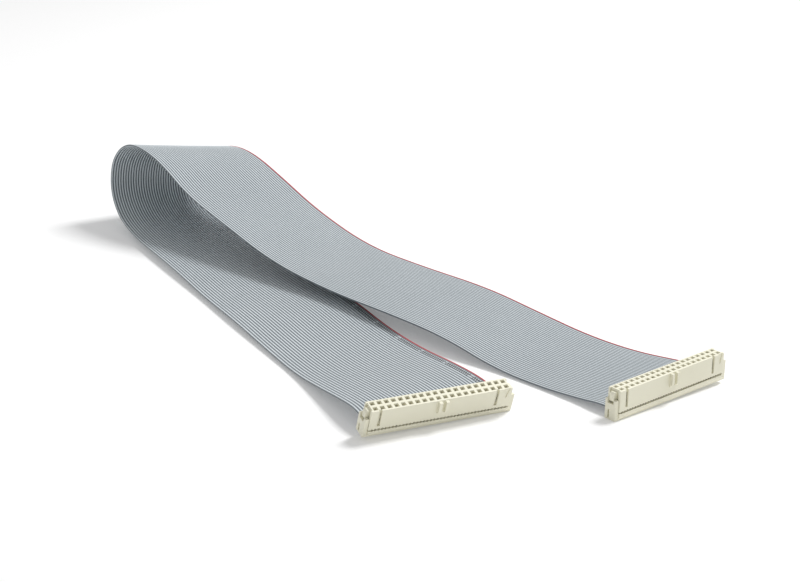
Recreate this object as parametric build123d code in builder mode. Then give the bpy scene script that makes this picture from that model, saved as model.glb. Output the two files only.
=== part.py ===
from build123d import *

import math
import os

# Forty-wire ribbon cable with a 2 x 20 socket connector pressed on each end.
# The ribbon leaves the left connector, lies along the floor to the back, turns over in one loop
# and comes back on top of itself to the right connector. Millimetres and degrees, +Z up,
# +Y towards the loop, with the origin on the floor under the middle of the whole cable.

os.makedirs("parts", exist_ok=True)

# Ribbon
contact_pitch = 2.54
contacts_per_row = 20
wire_count = 2 * contacts_per_row
wire_pitch = contact_pitch / 2
ribbon_thickness = 0.9
web_thickness = 0.5  # between the wires, and all that is left free where a connector grips
ribbon_width = wire_count * wire_pitch
end_recess = 1.0  # the cut end lies this far behind the connector's front
wire_groove = 1.0  # diameter of the groove that takes one wire

# Connector housing: X along it towards wire 1, Y towards the ribbon, Z towards the mating face
row_pitch = 2.54
housing_end_wall = 1.92  # from the end holes' centres to the housing's ends
housing_length = (contacts_per_row - 1) * contact_pitch + 2 * housing_end_wall
housing_width = 5.6
connector_height = 10.7
grip_height = 2.75  # middle of the gripped ribbon above the cover's underside
housing_bottom = grip_height + web_thickness / 2
housing_edge = 0.25  # fillet
hole_side = 1.3
funnel_side = 1.6
funnel_depth = 0.3
chamber_depth = 1.7
chamber_top = 1.3  # below the mating face
chamber_bottom = 2.2  # above the housing's underside

# Latch bars on the housing's ends
latch_width = 2.0
latch_reach = 1.15  # beyond the housing's end
latch_bottom = 6.0  # at the housing's end, from where it slopes up to the nose
latch_slope = 0.8
latch_top_drop = 0.9
latch_nose = 0.6
channel_width = 3.8
channel_depth = 0.6
channel_bottom = 4.4

# Marks and ribs on the housing's front
side_groove_width = 1.1
side_groove_depth = 0.8
side_groove_bottom = 4.3
left_groove_inset = 3.3  # from the housing's end to the groove's middle
right_groove_inset = 5.6
key_rib_width = 1.1
key_rib_spacing = 2.5
key_rib_reach = 1.2
key_rib_bottom = 5.4
mark_inset = 2.0  # from the housing's end to the mark's tip
mark_width = 2.2
mark_height = 4.0
mark_depth = 0.3

# Cover
cover_width = 4.6
cover_top = grip_height - web_thickness / 2
cover_edge = 0.2
flange_low = 0.5  # the cover widens from here
flange_high = 1.4  # to here, where it is as wide as the housing
arm_gap = 0.1
arm_thickness = 1.5
arm_height = 7.4
arm_edge = 0.25
latch_clearance = 0.12  # under the latch bar
latch_side_clearance = 0.35
notch_bottom = latch_bottom - latch_clearance
arm_slot_width = 0.7
arm_slot_depth = 0.7
arm_slot_low = 0.6
arm_slot_high = 3.6
arm_slot_y = 0.75

# Contacts: one stamping, a slotted fork below and a two-beam socket above
contact_thickness = 0.4
tine_width = 0.35
tine_gap = 0.3
tine_length = 1.2  # below the middle of the ribbon
fork_root = 0.65  # above the middle of the ribbon
shoulder_height = 0.9
shoulder_base = 0.35  # above the chamber's floor
beam_width = 0.3
beam_gap = 0.56
beam_length = 2.9
fork_clearance = 0.1
pocket_depth = 1.5

# Where the connectors stand: the middle of the cover's underside, and how far each one leans
left_place = (-39.0, -124.2)
left_turn = -5.0
left_lean = 19.7
left_tilt = 1.2  # its left end is lifted
right_place = (39.2, -148.2)
right_turn = 8.5
right_lean = 2.5
right_tilt = -1.35  # its right end is lifted

# The ribbon's middle line from one connector's back to the other's: x, y, z, then the heading of
# the ribbon's width, from +X, and its slope up towards wire 1
route = [
    (-38.2, -117.5, 6.5, -5.5, -0.5),
    (-37.3, -107.5, 6.4, -5.5, 0.5),
    (-35.7, -90.5, 4.6, -5.0, 1.5),
    (-33.5, -66.5, 1.8, -5.0, 1.5),
    (-31.0, -38.5, 1.4, -5.5, 0.0),
    (-28.0, -6.5, 2.6, -5.5, 1.0),
    (-25.0, 26.5, 1.8, -5.0, 0.5),
    (-22.0, 58.0, 2.0, -5.0, -1.5),
    (-19.5, 87.0, 2.0, -4.5, -2.0),
    (-17.5, 112.0, 1.8, -4.0, -2.5),
    (-16.0, 132.0, 3.5, -4.0, -5.0),
    (-15.0, 143.0, 7.0, -2.5, -9.5),
    (-13.8, 150.0, 11.0, -0.5, -13.0),
    (-12.5, 153.8, 16.0, 1.0, -14.0),
    (-11.2, 154.8, 22.0, 2.5, -14.5),
    (-9.8, 153.0, 27.5, 6.0, -13.5),
    (-8.3, 148.7, 31.7, 7.5, -11.5),
    (-6.8, 142.0, 34.2, 8.5, -9.5),
    (-5.0, 130.0, 34.5, 8.5, -6.5),
    (-3.4, 116.0, 31.7, 8.0, -4.0),
    (-1.2, 96.5, 24.2, 7.0, -1.0),
    (2.0, 70.0, 16.7, 9.0, -4.0),
    (7.0, 34.8, 8.4, 8.0, -3.5),
    (12.5, -3.0, 7.0, 10.5, -1.0),
    (19.0, -38.5, 7.0, 10.5, -0.5),
    (24.0, -65.5, 5.0, 10.5, -2.5),
    (29.0, -91.0, 1.2, 11.0, 0.0),
    (33.3, -114.0, 1.0, 10.5, 0.5),
    (36.9, -132.5, 2.6, 10.0, 1.5),
    (38.0, -141.2, 3.8, 9.0, 1.4),
]
run_share = 0.45  # of the shorter run, taken by each arc
arc_step = 9.0  # degrees of turn between sections of an arc

wire_xs = [(i - (wire_count - 1) / 2) * wire_pitch for i in range(wire_count)]
hole_xs = [(i - (contacts_per_row - 1) / 2) * contact_pitch for i in range(contacts_per_row)]
rows = {"front": (-row_pitch / 2, wire_pitch / 2), "rear": (row_pitch / 2, -wire_pitch / 2)}
arm_inner = housing_length / 2 + arm_gap
cover_length = 2 * (arm_inner + arm_thickness)


def connector_location(place, turn, lean, tilt):
    """The connector's own frame, leant and tilted over the cover's lower front corner, on the floor."""
    leant, tilted = math.radians(lean), math.radians(abs(tilt))
    height = cover_width / 2 * math.sin(leant) + cover_length / 2 * math.sin(tilted) * math.cos(leant)
    turned = Location((*place, height)) * Location((0, 0, 0), (0, 0, turn))
    return turned * Location((0, 0, 0), (lean, 0, 0)) * Location((0, 0, 0), (0, tilt, 0))


left_location = connector_location(left_place, left_turn, left_lean, left_tilt)
right_location = connector_location(right_place, right_turn, right_lean, right_tilt)


def make_housing():
    """The socket body: a long block with its holes, chambers, wire grooves, key ribs and latch bars."""
    half = housing_length / 2
    with BuildPart() as block:
        with BuildSketch(Plane.XY.offset(housing_bottom)):
            Rectangle(housing_length, housing_width)
        extrude(amount=connector_height - housing_bottom)
        fillet(block.edges().filter_by(Axis.Z), housing_edge)
        fillet(block.faces().sort_by(Axis.Z)[-1].edges(), housing_edge)
        # channels in the ends, each with its latch bar standing in it
        with BuildSketch(Plane.XY.offset(channel_bottom)):
            with Locations((half - channel_depth / 2, 0), (-half + channel_depth / 2, 0)):
                Rectangle(channel_depth, channel_width)
        extrude(amount=connector_height, mode=Mode.SUBTRACT)
        for side in (1, -1):
            with BuildSketch(Plane.XZ):
                with BuildLine():
                    Polyline(
                        (side * (half - channel_depth), latch_bottom),
                        (side * half, latch_bottom),
                        (side * (half + latch_reach), latch_bottom + latch_slope),
                        (side * (half + latch_reach), connector_height - latch_top_drop - latch_nose),
                        (side * (half + latch_reach - latch_nose), connector_height - latch_top_drop),
                        (side * (half - channel_depth), connector_height - latch_top_drop),
                        close=True,
                    )
                make_face()
            extrude(amount=latch_width / 2, both=True)
        # key ribs on the front, sloped at their lower ends
        with BuildSketch(Plane.YZ):
            with BuildLine():
                Polyline(
                    (-housing_width / 2, key_rib_bottom),
                    (-housing_width / 2 - key_rib_reach, key_rib_bottom + key_rib_reach),
                    (-housing_width / 2 - key_rib_reach, connector_height - housing_edge),
                    (-housing_width / 2, connector_height - housing_edge),
                    close=True,
                )
            make_face()
        ribs = extrude(amount=key_rib_width / 2, both=True, mode=Mode.PRIVATE)
        for shift in (-key_rib_spacing / 2, key_rib_spacing / 2):
            add(Pos(shift, 0, 0) * ribs)
        # grooves and the wire-1 mark in the front
        front = Plane.XZ.offset(housing_width / 2)
        groove_height = connector_height - side_groove_bottom
        with BuildSketch(front):
            for groove_x in (left_groove_inset - half, half - right_groove_inset):
                with Locations((groove_x, side_groove_bottom + groove_height / 2)):
                    Rectangle(side_groove_width, groove_height)
        extrude(amount=-side_groove_depth, mode=Mode.SUBTRACT)
        mark_x = half - mark_inset
        with BuildSketch(front):
            with BuildLine():
                Polyline(
                    (mark_x - mark_width / 2, connector_height),
                    (mark_x + mark_width / 2, connector_height),
                    (mark_x, connector_height - mark_height),
                    close=True,
                )
            make_face()
        extrude(amount=-mark_depth, mode=Mode.SUBTRACT)
        # mating holes with their funnels
        with BuildSketch(Plane.XY.offset(connector_height)):
            with GridLocations(contact_pitch, row_pitch, contacts_per_row, 2):
                Rectangle(funnel_side, funnel_side)
        slope = math.degrees(math.atan((funnel_side - hole_side) / 2 / funnel_depth))
        extrude(amount=-funnel_depth, taper=slope, mode=Mode.SUBTRACT)
        with BuildSketch(Plane.XY.offset(connector_height)):
            with GridLocations(contact_pitch, row_pitch, contacts_per_row, 2):
                Rectangle(hole_side, hole_side)
        extrude(amount=-chamber_top - 0.1, mode=Mode.SUBTRACT)
        # contact chambers and, below them, the slots that the forks come through
        with BuildSketch(Plane.XY.offset(housing_bottom + chamber_bottom)):
            for row_y, wire_shift in rows.values():
                low, high = contact_reach(wire_shift)
                with Locations(*[(x + (low + high) / 2, row_y) for x in hole_xs]):
                    Rectangle(high - low + 2 * fork_clearance, chamber_depth)
        chamber_height = connector_height - chamber_top - housing_bottom - chamber_bottom
        extrude(amount=chamber_height, mode=Mode.SUBTRACT)
        with BuildSketch(Plane.XY.offset(housing_bottom)):
            for row_y, wire_shift in rows.values():
                with Locations(*[(x + wire_shift, row_y) for x in hole_xs]):
                    Rectangle(fork_width() + 2 * fork_clearance, contact_thickness + 2 * fork_clearance)
        extrude(amount=chamber_bottom, mode=Mode.SUBTRACT)
        extrude(wire_circles(), amount=housing_width, both=True, mode=Mode.SUBTRACT)
    return block.part


def make_cover():
    """The cap under the ribbon: a strip with wire grooves and two arms that hook on the latch bars."""
    with BuildPart() as cap:
        with BuildSketch(Plane.XY):
            Rectangle(cover_length, cover_width)
        extrude(amount=cover_top)
        fillet(cap.faces().sort_by(Axis.Z)[0].edges(), cover_edge)
        with BuildSketch(Plane.YZ):
            with BuildLine():
                Polyline(
                    (-cover_width / 2, flange_low),
                    (cover_width / 2, flange_low),
                    (housing_width / 2, flange_high),
                    (housing_width / 2, cover_top),
                    (-housing_width / 2, cover_top),
                    (-housing_width / 2, flange_high),
                    close=True,
                )
            make_face()
        extrude(amount=housing_length / 2, both=True)
        with BuildSketch(Plane.XY.offset(cover_top / 2)):
            with Locations((arm_inner + arm_thickness / 2, 0), (-arm_inner - arm_thickness / 2, 0)):
                Rectangle(arm_thickness, cover_width)
        extrude(amount=arm_height - cover_top / 2)
        fillet(cap.faces().group_by(Axis.Z)[-1].edges().filter_by(Axis.Y), arm_edge)
        with BuildSketch(Plane.XY.offset(notch_bottom)):
            with Locations((arm_inner + arm_thickness / 2, 0), (-arm_inner - arm_thickness / 2, 0)):
                Rectangle(arm_thickness + 2 * arm_gap, latch_width + 2 * latch_side_clearance)
        extrude(amount=arm_height, mode=Mode.SUBTRACT)
        # narrow slots low on the arms' outer faces
        with BuildSketch(Plane.XY.offset(arm_slot_low)):
            arm_slot_x = (cover_length - arm_slot_depth) / 2
            with Locations((arm_slot_x, arm_slot_y), (-arm_slot_x, arm_slot_y)):
                Rectangle(arm_slot_depth, arm_slot_width)
        extrude(amount=arm_slot_high - arm_slot_low, mode=Mode.SUBTRACT)
        # pockets for the forks' tips
        with BuildSketch(Plane.XY.offset(grip_height - pocket_depth)):
            for row_y, wire_shift in rows.values():
                with Locations(*[(x + wire_shift, row_y) for x in hole_xs]):
                    Rectangle(fork_width() + 2 * fork_clearance, contact_thickness + 2 * fork_clearance)
        extrude(amount=pocket_depth, mode=Mode.SUBTRACT)
        extrude(wire_circles(), amount=cover_width, both=True, mode=Mode.SUBTRACT)
    return cap.part


def wire_circles():
    """The outlines of the grooves that run from front to back, one for each wire."""
    with BuildSketch(Plane.XZ) as circles:
        with Locations(*[(x, grip_height) for x in wire_xs]):
            Circle(wire_groove / 2)
    return circles.sketch


def fork_width():
    """Width of a contact's fork over both tines."""
    return 2 * tine_width + tine_gap


def contact_reach(wire_shift):
    """How far a contact reaches to each side of its hole, over its beams and its fork."""
    beams = beam_gap / 2 + beam_width
    return min(-beams, wire_shift - fork_width() / 2), max(beams, wire_shift + fork_width() / 2)


def make_contacts(row):
    """One row of contacts, each a flat stamping that grips a wire below and a pin above."""
    row_y, wire_shift = rows[row]
    fork_top = housing_bottom + chamber_bottom + shoulder_base
    tine_height = tine_length + fork_root
    with BuildPart() as stampings:
        with BuildSketch(Plane.XZ.offset(-row_y)):
            for hole_x in hole_xs:
                wire_x = hole_x + wire_shift
                for side in (-1, 1):
                    tine_x = wire_x + side * (tine_gap + tine_width) / 2
                    with Locations((tine_x, grip_height - tine_length)):
                        Rectangle(tine_width, tine_height, align=(Align.CENTER, Align.MIN))
                    beam_x = hole_x + side * (beam_gap + beam_width) / 2
                    with Locations((beam_x, fork_top + shoulder_height)):
                        Rectangle(beam_width, beam_length, align=(Align.CENTER, Align.MIN))
                root_bottom = grip_height + fork_root
                with Locations((wire_x, root_bottom)):
                    Rectangle(fork_width(), fork_top - root_bottom, align=(Align.CENTER, Align.MIN))
                low, high = contact_reach(wire_shift)
                with Locations((hole_x + (low + high) / 2, fork_top)):
                    Rectangle(high - low, shoulder_height, align=(Align.CENTER, Align.MIN))
        extrude(amount=contact_thickness / 2, both=True)
    return stampings.part


def width_direction(turn, slope):
    """Unit vector across the ribbon, towards wire 1."""
    turn, slope = math.radians(turn), math.radians(slope)
    return Vector(math.cos(slope) * math.cos(turn), math.cos(slope) * math.sin(turn), math.sin(slope))


def in_connector(location, y):
    """A point on the gripped ribbon's middle line, y from the connector's middle."""
    return (location * Location((0, y, grip_height))).position


def across_connector(location):
    """The connector's own X direction, which the ribbon's width follows at its end."""
    return (location * Location((1, 0, 0))).position - location.position


def ribbon_sections():
    """Where the ribbon's section stands: centre, direction of travel, width direction, thickness.

    The middle line is straight runs joined by tangent arcs. Each arc takes run_share of its shorter run.
    """
    back = housing_width / 2
    front = -housing_width / 2 + end_recess
    starts = [in_connector(left_location, y) for y in (front, back)]
    ends = [in_connector(right_location, y) for y in (back, front)]
    points = [starts[1], *[Vector(*row[:3]) for row in route], ends[0]]
    widths = [across_connector(left_location)]
    widths += [width_direction(*row[3:]) for row in route]
    widths += [across_connector(right_location)]
    sections = [(starts[0], starts[1] - starts[0], widths[0], web_thickness)]
    sections.append((starts[1], starts[1] - starts[0], widths[0], web_thickness))
    radii = []
    for i in range(1, len(points) - 1):
        corner = points[i]
        w0, w1, w2 = widths[i - 1 : i + 2]
        run_in, run_out = corner - points[i - 1], points[i + 1] - corner
        trim = run_share * min(run_in.length, run_out.length)
        turn = run_in.get_angle(run_out)
        radius = trim / math.tan(math.radians(turn) / 2)
        radii.append(round(radius, 1))
        way_in, way_out = run_in.normalized(), run_out.normalized()
        arc_start, arc_end = corner - way_in * trim, corner + way_out * trim
        centre = corner + (way_out - way_in).normalized() * (radius / math.cos(math.radians(turn) / 2))
        wide_in = w1 + (w0 - w1) * (trim / run_in.length)
        wide_out = w1 + (w2 - w1) * (trim / run_out.length)
        steps = max(1, math.ceil(turn / arc_step))
        normal = way_in.cross(way_out)
        for step in range(steps + 1):
            share = step / steps
            point = centre + (arc_start - centre).rotate(Axis((0, 0, 0), normal), turn * share)
            travel = way_in.rotate(Axis((0, 0, 0), normal), turn * share)
            sections.append((point, travel, wide_in + (wide_out - wide_in) * share, ribbon_thickness))
    sections.append((ends[0], ends[1] - ends[0], widths[-1], web_thickness))
    sections.append((ends[1], ends[1] - ends[0], widths[-1], web_thickness))
    print("arc radii", radii)
    return sections


def make_ribbon(contacts):
    """The ribbon as one plain strap, pierced where the contacts' forks go through it."""
    sections = ribbon_sections()
    with BuildPart() as strap:
        for point, travel, wide, thickness in sections:
            travel = travel.normalized()
            wide = (wide - travel * wide.dot(travel)).normalized()
            with BuildSketch(Plane(origin=point, x_dir=wide, z_dir=travel)):
                Rectangle(ribbon_width, thickness)
        loft(ruled=True)
        length = sum((b[0] - a[0]).length for a, b in zip(sections, sections[1:]))
        expected = length * ribbon_width * ribbon_thickness
        print("ribbon length", round(length, 1), "section x length", round(expected))
        print("ribbon volume", round(strap.part.volume))
        for piece in contacts:
            add(piece, mode=Mode.SUBTRACT)
    return strap.part


pieces = {}
for side, location in (("left", left_location), ("right", right_location)):
    pieces[side + "_housing"] = location * make_housing()
    pieces[side + "_cover"] = location * make_cover()
    for row in rows:
        pieces[side + "_" + row + "_contacts"] = location * make_contacts(row)
pieces["ribbon"] = make_ribbon([piece for name, piece in pieces.items() if name.endswith("contacts")])

for name, piece in pieces.items():
    piece.label = name
    export_step(piece, "parts/" + name + ".step")
whole = Compound(children=list(pieces.values())).bounding_box()
print("box", whole.min, whole.max)
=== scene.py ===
"""Ribbon cable with two socket connectors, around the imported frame. Metres, +Z up."""
import math

import bpy
import numpy as np
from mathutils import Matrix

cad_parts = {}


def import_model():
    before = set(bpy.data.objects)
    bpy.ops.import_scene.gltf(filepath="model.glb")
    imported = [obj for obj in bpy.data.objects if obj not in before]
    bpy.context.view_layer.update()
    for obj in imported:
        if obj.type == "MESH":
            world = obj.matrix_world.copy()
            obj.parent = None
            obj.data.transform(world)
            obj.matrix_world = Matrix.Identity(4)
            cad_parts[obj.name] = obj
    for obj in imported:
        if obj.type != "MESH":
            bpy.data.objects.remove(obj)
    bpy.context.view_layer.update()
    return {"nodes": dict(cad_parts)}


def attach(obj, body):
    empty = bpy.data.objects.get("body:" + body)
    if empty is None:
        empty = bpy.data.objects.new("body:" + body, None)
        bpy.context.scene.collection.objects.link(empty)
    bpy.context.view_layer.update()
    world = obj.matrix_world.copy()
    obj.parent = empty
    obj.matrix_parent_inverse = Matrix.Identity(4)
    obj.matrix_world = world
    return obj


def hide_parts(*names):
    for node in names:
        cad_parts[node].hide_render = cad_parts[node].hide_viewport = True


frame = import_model()

MM = 0.001

# ---------------------------------------------------------------- camera

VIEW_HEADING = math.radians(31.5)  # clockwise from +Y
VIEW_PITCH = math.radians(18.58)
CAMERA_PLACE = (-0.323, -0.566, 0.2225)
FRAME_WIDTH = 800
FOCAL_IN_FRAME_WIDTHS = 1725 / FRAME_WIDTH
SENSOR_WIDTH = 36.0

camera_data = bpy.data.cameras.new("camera")
camera_data.sensor_width = SENSOR_WIDTH
camera_data.lens = FOCAL_IN_FRAME_WIDTHS * SENSOR_WIDTH
camera = bpy.data.objects.new("camera", camera_data)
camera.location = CAMERA_PLACE
camera.rotation_euler = (math.pi / 2 - VIEW_PITCH, 0, -VIEW_HEADING)
bpy.context.collection.objects.link(camera)
bpy.context.scene.camera = camera

# ---------------------------------------------------------------- ribbon

WIRE_COUNT = 40
WIRE_PITCH = 1.27 * MM
WIRE_RADIUS = 0.45 * MM
WEB_THICKNESS = 0.36 * MM
RIBBON_WIDTH = WIRE_COUNT * WIRE_PITCH
HOUSING_WIDTH = 5.6 * MM
GRIP_HEIGHT = 2.75 * MM
COVER_WIDTH = 4.6 * MM
COVER_LENGTH = 55.3 * MM
END_RECESS = 1.0 * MM

# where each connector stands, its turn, its lean and its tilt, as in the frame's own model
CONNECTORS = {
    "left": ((-39.0, -124.2), -5.0, 19.7, 1.2),
    "right": ((39.2, -148.2), 8.5, 2.5, -1.35),
}

# the ribbon's middle line from back to back of the connectors, in mm, then the heading of its width
# from +X and its slope up towards the red wire, in degrees
ROUTE = [
    (-38.2, -117.5, 6.5, -5.5, -0.5),
    (-37.3, -107.5, 6.4, -5.5, 0.5),
    (-35.7, -90.5, 4.6, -5.0, 1.5),
    (-33.5, -66.5, 1.8, -5.0, 1.5),
    (-31.0, -38.5, 1.4, -5.5, 0.0),
    (-28.0, -6.5, 2.6, -5.5, 1.0),
    (-25.0, 26.5, 1.8, -5.0, 0.5),
    (-22.0, 58.0, 2.0, -5.0, -1.5),
    (-19.5, 87.0, 2.0, -4.5, -2.0),
    (-17.5, 112.0, 1.8, -4.0, -2.5),
    (-16.0, 132.0, 3.5, -4.0, -5.0),
    (-15.0, 143.0, 7.0, -2.5, -9.5),
    (-13.8, 150.0, 11.0, -0.5, -13.0),
    (-12.5, 153.8, 16.0, 1.0, -14.0),
    (-11.2, 154.8, 22.0, 2.5, -14.5),
    (-9.8, 153.0, 27.5, 6.0, -13.5),
    (-8.3, 148.7, 31.7, 7.5, -11.5),
    (-6.8, 142.0, 34.2, 8.5, -9.5),
    (-5.0, 130.0, 34.5, 8.5, -6.5),
    (-3.4, 116.0, 31.7, 8.0, -4.0),
    (-1.2, 96.5, 24.2, 7.0, -1.0),
    (2.0, 70.0, 16.7, 9.0, -4.0),
    (7.0, 34.8, 8.4, 8.0, -3.5),
    (12.5, -3.0, 7.0, 10.5, -1.0),
    (19.0, -38.5, 7.0, 10.5, -0.5),
    (24.0, -65.5, 5.0, 10.5, -2.5),
    (29.0, -91.0, 1.2, 11.0, 0.0),
    (33.3, -114.0, 1.0, 10.5, 0.5),
    (36.9, -132.5, 2.6, 10.0, 1.5),
    (38.0, -141.2, 3.8, 9.0, 1.4),
]


def connector_axes(side):
    """The connector's origin, then its unit vectors: along it, to its back and to its mating face."""
    (x, y), *angles = CONNECTORS[side]
    turn, lean, tilt = np.radians(angles)
    height = COVER_WIDTH / 2 * math.sin(lean) + COVER_LENGTH / 2 * math.sin(abs(tilt)) * math.cos(lean)
    level_along = np.array([math.cos(turn), math.sin(turn), 0])
    level_back = np.array([-math.sin(turn), math.cos(turn), 0])
    back = level_back * math.cos(lean) + np.array([0, 0, math.sin(lean)])
    along = level_along * math.cos(tilt) - np.cross(level_along, back) * math.sin(tilt)
    return np.array([x * MM, y * MM, height]), along, back, np.cross(along, back)


def in_connector(side, x, y, z):
    """A point given in a connector's own frame."""
    origin, along, back, up = connector_axes(side)
    return origin + x * along + y * back + z * up


def width_directions(rows):
    """Unit vectors across the ribbon: the heading turns them in plan, the slope lifts them."""
    turn, slope = np.radians(rows[:, 3]), np.radians(rows[:, 4])
    return np.stack([np.cos(slope) * np.cos(turn), np.cos(slope) * np.sin(turn), np.sin(slope)], axis=1)


def spline_points(name, points, steps):
    """The points of one smooth open NURBS spline that has these control points."""
    curve = bpy.data.curves.new(name, "CURVE")
    curve.dimensions = "3D"
    spline = curve.splines.new("NURBS")
    spline.points.add(len(points) - 1)
    spline.points.foreach_set("co", np.c_[points, np.ones(len(points))].ravel())
    spline.order_u = 3
    spline.use_endpoint_u = True
    spline.resolution_u = steps
    holder = bpy.data.objects.new(name, curve)
    mesh = bpy.data.meshes.new_from_object(holder)
    found = np.empty(len(mesh.vertices) * 3)
    mesh.vertices.foreach_get("co", found)
    bpy.data.objects.remove(holder)
    bpy.data.curves.remove(curve)
    bpy.data.meshes.remove(mesh)
    return found.reshape(-1, 3)


def unit(vectors):
    """Each row brought to length one."""
    return vectors / np.linalg.norm(vectors, axis=-1, keepdims=True)


def ribbon_frames(steps):
    """Middle points, travel and width directions along the whole ribbon, cut end to cut end."""
    rows = np.array(ROUTE)
    back, front = HOUSING_WIDTH / 2, END_RECESS - HOUSING_WIDTH / 2
    first, last = in_connector("left", 0, back, GRIP_HEIGHT), in_connector("right", 0, back, GRIP_HEIGHT)
    middle = np.vstack([first, rows[:, :3] * MM, last])
    across = np.vstack([connector_axes("left")[1], width_directions(rows), connector_axes("right")[1]])
    centre = spline_points("middle_line", middle, steps)
    edge = spline_points("edge_line", middle + across * RIBBON_WIDTH / 2, steps)
    start = [in_connector("left", 0, y, GRIP_HEIGHT) for y in (front, 0)]
    end = [in_connector("right", 0, y, GRIP_HEIGHT) for y in (0, front)]
    wide = np.vstack([across[:1], across[:1], edge - centre, across[-1:], across[-1:]])
    centre = np.vstack([start, centre, end])
    travel = unit(np.gradient(centre, axis=0))
    wide = unit(wide - travel * np.sum(wide * travel, axis=1, keepdims=True))
    return centre, travel, wide


def ribbon_profile(arc_points):
    """The ribbon's section as closed loops of (across, up) points: 40 round lobes joined by thin webs.

    The upper outline runs from the plain edge to the red edge, each lobe an arc of its circle between the
    two places where it meets the web, and the lower outline is its mirror image, run back.
    """
    half_web = WEB_THICKNESS / 2
    cut = math.asin(half_web / WIRE_RADIUS)
    angles = np.linspace(math.pi - cut, cut, arc_points)
    centres = (np.arange(WIRE_COUNT) - (WIRE_COUNT - 1) / 2) * WIRE_PITCH
    x = centres[:, None] + WIRE_RADIUS * np.cos(angles)[None]
    z = np.broadcast_to(WIRE_RADIUS * np.sin(angles), x.shape)
    upper = np.stack([x.ravel(), z.ravel()], axis=1)
    lower = upper[::-1] * [1, -1]
    return np.vstack([upper, lower])


def ribbon_mesh(name, centre, travel, wide, arc_points):
    """The profile carried along the middle line: point = centre + across * width + up * height.

    Every ring joins the next by quads, and each end is closed by quads between the two outlines.
    The UV map holds metres along and across. The attribute "inner" is 1 on the side inside the loop, and
    "lobe" is the height above the middle, 1 on the ridges; the vinyl paints shade into the valleys below
    them.
    """
    profile = ribbon_profile(arc_points)
    up = np.cross(wide, travel)
    rings, count = len(centre), len(profile)
    points = centre[:, None] + profile[None, :, :1] * wide[:, None] + profile[None, :, 1:] * up[:, None]
    ring, step = np.meshgrid(np.arange(rings - 1), np.arange(count), indexing="ij")
    following = (step + 1) % count
    quads = np.stack([ring * count + step, ring * count + following,
                      (ring + 1) * count + following, (ring + 1) * count + step], axis=-1).reshape(-1, 4)
    k = np.arange(count // 2 - 1)
    cap = np.stack([k, count - 1 - k, count - 2 - k, k + 1], axis=-1)
    faces = np.vstack([quads, cap, cap[:, ::-1] + (rings - 1) * count])
    mesh = bpy.data.meshes.new(name)
    mesh.from_pydata(points.reshape(-1, 3), [], faces.tolist())
    along = np.r_[0, np.cumsum(np.linalg.norm(np.diff(centre, axis=0), axis=1))]
    flat = np.stack([np.repeat(along, count), np.tile(profile[:, 0], rings)], axis=1)
    corner = np.empty(len(mesh.loops), dtype=int)
    mesh.loops.foreach_get("vertex_index", corner)
    mesh.uv_layers.new(name="length").data.foreach_set("uv", flat[corner].ravel())
    inner = mesh.attributes.new("inner", "FLOAT", "POINT")
    inner.data.foreach_set("value", np.tile(np.arange(count) < count // 2, rings).astype(float))
    lobe = mesh.attributes.new("lobe", "FLOAT", "POINT")
    lobe.data.foreach_set("value", np.tile(np.abs(profile[:, 1]) / WIRE_RADIUS, rings))
    mesh.polygons.foreach_set("use_smooth", np.arange(len(faces)) < len(quads))
    mesh.polygons.foreach_set("material_index", (np.arange(len(faces)) >= len(quads)).astype(int))
    ribbon = bpy.data.objects.new(name, mesh)
    bpy.context.collection.objects.link(ribbon)
    return ribbon


# ---------------------------------------------------------------- materials

# colours on the 0 to 255 screen scale
RIBBON_DARK = (204, 212, 216)
RIBBON_LIGHT = (214, 221, 225)
# painted shade for the valleys between the wires' lobes
RIBBON_VALLEY_SHADE = (102, 110, 116)
RIBBON_RED = (176, 34, 46)
RIBBON_INK = (30, 32, 34)
# the cut ends: partly the cut vinyl and copper cores, partly painted shade of the recess at the seam
RIBBON_CUT_AND_SHADE = (86, 84, 82)
CREAM_DARK = (223, 220, 198)
CREAM_LIGHT = (233, 230, 210)
# the contacts' tones, darkened to a dull bronze as painted shade for the insides of the holes
SHADED_TIN_DARK = (96, 84, 62)
SHADED_TIN_LIGHT = (144, 128, 98)

# the red stripe and the dashes, measured from the red edge
RED_STRIPE = 0.95 * MM
DASHES_FROM = 1.4 * MM
DASHES_TO = 3.6 * MM
STRIPE_SOFT = 0.05 * MM
DASH_GROUP = 19 * MM
DASH_GROUP_GAP = 0.1  # the share of a group left plain
DASH_GROUP_SOFT = 0.01
DASH_STEP = 1.3 * MM
DASH_GAP = 0.5  # the share of a step left plain
DASH_SOFT = 0.08
INK_STRENGTH = 0.85

# the height, as a share of the lobes' radius, where the painted valley shade turns to the plain grey of the
# ridges
VALLEY_SHADE_LEVEL = 0.68
VALLEY_SHADE_SOFT = 0.28


def linear(red, green, blue):
    """A colour on the 0 to 255 screen scale as linear values."""
    def one(value):
        value /= 255
        return value / 12.92 if value <= 0.04045 else ((value + 0.055) / 1.055) ** 2.4
    return (one(red), one(green), one(blue), 1)


class Sum:
    """A number in a material: arithmetic on it adds Math nodes."""

    def __init__(self, material, socket):
        self.material, self.socket = material, socket

    def math(self, operation, *others):
        return self.material.node("ShaderNodeMath", {"operation": operation}, [self, *others]).number()

    def __add__(self, other):
        return self.math("ADD", other)

    def __mul__(self, other):
        return self.math("MULTIPLY", other)

    def __rsub__(self, other):
        return (self * -1) + other

    def above(self, edge, soft):
        """0 below edge, 1 above it, over a soft step."""
        ramp = {"interpolation_type": "SMOOTHSTEP"}
        links = {"Value": self, "From Min": edge - soft, "From Max": edge + soft}
        return self.material.node("ShaderNodeMapRange", ramp, links).number("Result")


class Node:
    """A shader node with its outputs."""

    def __init__(self, material, node):
        self.material, self.node = material, node

    def number(self, name=None):
        return Sum(self.material, self.node.outputs[name or 0])

    def out(self, name):
        return self.node.outputs[name]


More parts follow.
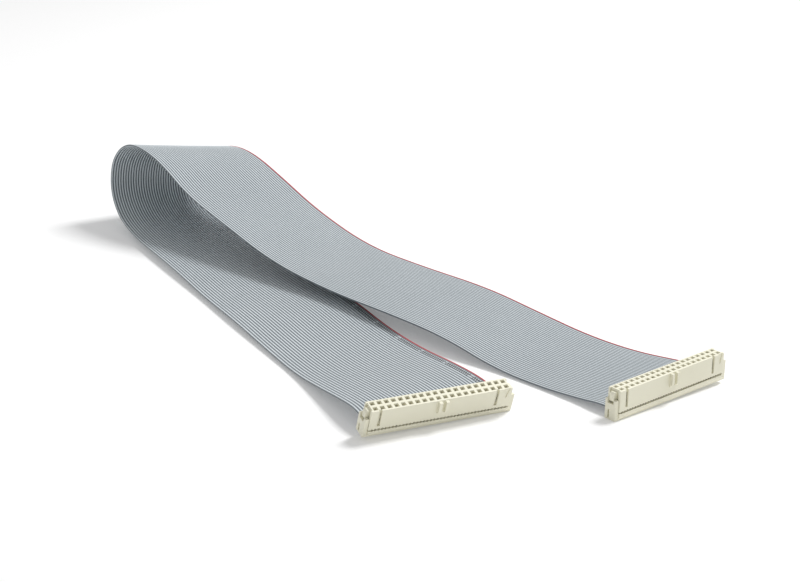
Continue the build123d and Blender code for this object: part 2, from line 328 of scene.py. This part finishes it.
class Material:
    """A node material around one Principled shader."""

    def __init__(self, name, **sockets):
        self.material = bpy.data.materials.new(name)
        self.material.use_nodes = True
        self.tree = self.material.node_tree
        self.shader = self.tree.nodes["Principled BSDF"]
        self.set(**sockets)

    def node(self, kind, settings=None, inputs=()):
        node = self.tree.nodes.new(kind)
        for key, value in (settings or {}).items():
            setattr(node, key, value)
        pairs = inputs.items() if isinstance(inputs, dict) else enumerate(inputs)
        for key, value in pairs:
            self.feed(node.inputs[key], value)
        return Node(self, node)

    def feed(self, socket, value):
        if isinstance(value, Sum):
            value = value.socket
        if isinstance(value, bpy.types.NodeSocket):
            self.tree.links.new(value, socket)
        else:
            socket.default_value = value

    def set(self, **sockets):
        for name, value in sockets.items():
            self.feed(self.shader.inputs[name.replace("_", " ")], value)

    def mix(self, share, first, second):
        """A colour between two colours."""
        mixer = self.node("ShaderNodeMix", {"data_type": "RGBA"})
        for key, value in ((0, share), (6, first), (7, second)):
            self.feed(mixer.node.inputs[key], value)
        return mixer.node.outputs[2]

    def noise(self, place, scale, detail=2):
        inputs = {"Vector": place, "Scale": scale, "Detail": detail}
        return self.node("ShaderNodeTexNoise", None, inputs).number("Fac")

    def bump(self, height, distance, strength=1.0):
        inputs = {"Height": height, "Distance": distance, "Strength": strength}
        self.set(Normal=self.node("ShaderNodeBump", None, inputs).out("Normal"))

    def place(self):
        return self.node("ShaderNodeTexCoord").out("Object")


def ribbon_vinyl():
    """Grey vinyl with painted valley shade, a red outer wire and, inside the loop, rows of short dark
    dashes beside it.
    """
    vinyl = Material("ribbon_vinyl", IOR=1.5)
    flat = vinyl.node("ShaderNodeUVMap", {"uv_map": "length"}).out("UV")
    split = vinyl.node("ShaderNodeSeparateXYZ", None, [flat])
    along, across = split.number("X"), split.number("Y")
    place = vinyl.place()
    cloud = vinyl.noise(place, 60.0)
    lobe = vinyl.node("ShaderNodeAttribute", {"attribute_name": "lobe"}).number("Fac")
    # painted shade: below the ridges the grey turns to a darker valley grey
    ridge_unshaded = lobe.above(VALLEY_SHADE_LEVEL, VALLEY_SHADE_SOFT)
    grey = vinyl.mix(cloud, linear(*RIBBON_DARK), linear(*RIBBON_LIGHT))
    grey = vinyl.mix(ridge_unshaded, linear(*RIBBON_VALLEY_SHADE), grey)
    from_red_edge = RIBBON_WIDTH / 2 - across
    red = 1 - from_red_edge.above(RED_STRIPE, STRIPE_SOFT)
    coloured = vinyl.mix(red, grey, linear(*RIBBON_RED))
    inner = vinyl.node("ShaderNodeAttribute", {"attribute_name": "inner"}).number("Fac")
    before_end = 1 - from_red_edge.above(DASHES_TO, STRIPE_SOFT)
    in_band = from_red_edge.above(DASHES_FROM, STRIPE_SOFT) * before_end
    in_group = (along * (1 / DASH_GROUP)).math("FRACT").above(DASH_GROUP_GAP, DASH_GROUP_SOFT)
    in_dash = (along * (1 / DASH_STEP)).math("FRACT").above(DASH_GAP, DASH_SOFT)
    ink = in_band * in_group * in_dash * inner.above(0.5, 0.1) * INK_STRENGTH
    vinyl.set(Base_Color=vinyl.mix(ink, coloured, linear(*RIBBON_INK)))
    vinyl.set(Roughness=vinyl.noise(place, 900.0) * 0.12 + 0.36)
    vinyl.bump(vinyl.noise(place, 2500.0), 0.02 * MM, 0.4)
    return vinyl.material


def housing_plastic():
    """Cream moulded plastic, a little uneven in tone, with a fine satin grain."""
    plastic = Material("housing_plastic", IOR=1.48)
    place = plastic.place()
    cloud = plastic.noise(place, 45.0)
    plastic.set(Base_Color=plastic.mix(cloud, linear(*CREAM_DARK), linear(*CREAM_LIGHT)))
    plastic.set(Roughness=plastic.noise(place, 700.0) * 0.15 + 0.38)
    plastic.bump(plastic.noise(place, 1800.0, 4), 0.015 * MM, 0.5)
    return plastic.material


def contact_metal():
    """Dull tinned metal, darkened to a dull bronze as painted shade for the insides of the holes."""
    metal = Material("contact_metal", Metallic=1.0)
    place = metal.place()
    metal.set(Base_Color=metal.mix(metal.noise(place, 800.0), linear(*SHADED_TIN_DARK), linear(*SHADED_TIN_LIGHT)))
    metal.set(Roughness=metal.noise(place, 1500.0) * 0.2 + 0.3)
    return metal.material


RIBBON_STEPS = 6
LOBE_POINTS = 6

centre, travel, wide = ribbon_frames(RIBBON_STEPS)
ribbon = ribbon_mesh("ribbon_lobed", centre, travel, wide, LOBE_POINTS)
ribbon.data.materials.append(ribbon_vinyl())
# the cut end faces take a dark grey that is partly painted shade of the seam's recess
ribbon.data.materials.append(Material("ribbon_cut_and_shade", Base_Color=linear(*RIBBON_CUT_AND_SHADE), Roughness=0.7).material)
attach(ribbon, "root")
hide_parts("ribbon")

cream, tinned = housing_plastic(), contact_metal()
for name, node in frame["nodes"].items():
    if name != "ribbon":
        node.data.materials.clear()
        node.data.materials.append(tinned if name.endswith("contacts") else cream)

# ---------------------------------------------------------------- floor, light and view

WORLD_LEVEL = 0.52
LAMP_PLACE = (0.9, -0.12, 1.25)
LAMP_SIZE = 0.5
LAMP_POWER = 20.0
FLOOR_GREY = (0.8, 0.8, 0.8, 1)
FLOOR_GLOW = 0.16
FLOOR_HALF = 4.0


def floor():
    """A wide pale floor just under the cable, which glows a little so that shadows stay light."""
    mesh = bpy.data.meshes.new("floor")
    corners = [(x * FLOOR_HALF, y * FLOOR_HALF, 0) for x, y in ((-1, -1), (1, -1), (1, 1), (-1, 1))]
    mesh.from_pydata(corners, [], [(0, 1, 2, 3)])
    pale = Material("floor_pale", Base_Color=FLOOR_GREY, Roughness=0.9)
    pale.set(Emission_Color=(1, 1, 1, 1), Emission_Strength=FLOOR_GLOW)
    pale.set(Specular_IOR_Level=0.1)
    mesh.materials.append(pale.material)
    plane = bpy.data.objects.new("floor", mesh)
    bpy.context.collection.objects.link(plane)


def lamp(name, place, size, power):
    """A soft square lamp that faces the cable."""
    data = bpy.data.lights.new(name, "AREA")
    data.size = size
    data.energy = power
    light = bpy.data.objects.new(name, data)
    light.location = place
    aim = np.array(place)
    light.rotation_euler = (math.atan2(math.hypot(aim[0], aim[1]), aim[2]), 0, math.atan2(aim[0], -aim[1]))
    bpy.context.collection.objects.link(light)


def world():
    """Even white surroundings: white to the eye and in reflections, softer as light."""
    surroundings = bpy.data.worlds.new("studio")
    surroundings.use_nodes = True
    bpy.context.scene.world = surroundings
    nodes, links = surroundings.node_tree.nodes, surroundings.node_tree.links
    path = nodes.new("ShaderNodeLightPath")
    seen = nodes.new("ShaderNodeMath")
    seen.operation = "MAXIMUM"
    links.new(path.outputs["Is Camera Ray"], seen.inputs[0])
    links.new(path.outputs["Is Glossy Ray"], seen.inputs[1])
    level = nodes.new("ShaderNodeMapRange")
    links.new(seen.outputs[0], level.inputs["Value"])
    level.inputs["To Min"].default_value = WORLD_LEVEL
    level.inputs["To Max"].default_value = 1.0
    links.new(level.outputs["Result"], nodes["Background"].inputs["Strength"])
    nodes["Background"].inputs["Color"].default_value = (1, 1, 1, 1)


floor()
lamp("overhead_lamp", LAMP_PLACE, LAMP_SIZE, LAMP_POWER)
world()
bpy.context.scene.view_settings.view_transform = "Standard"
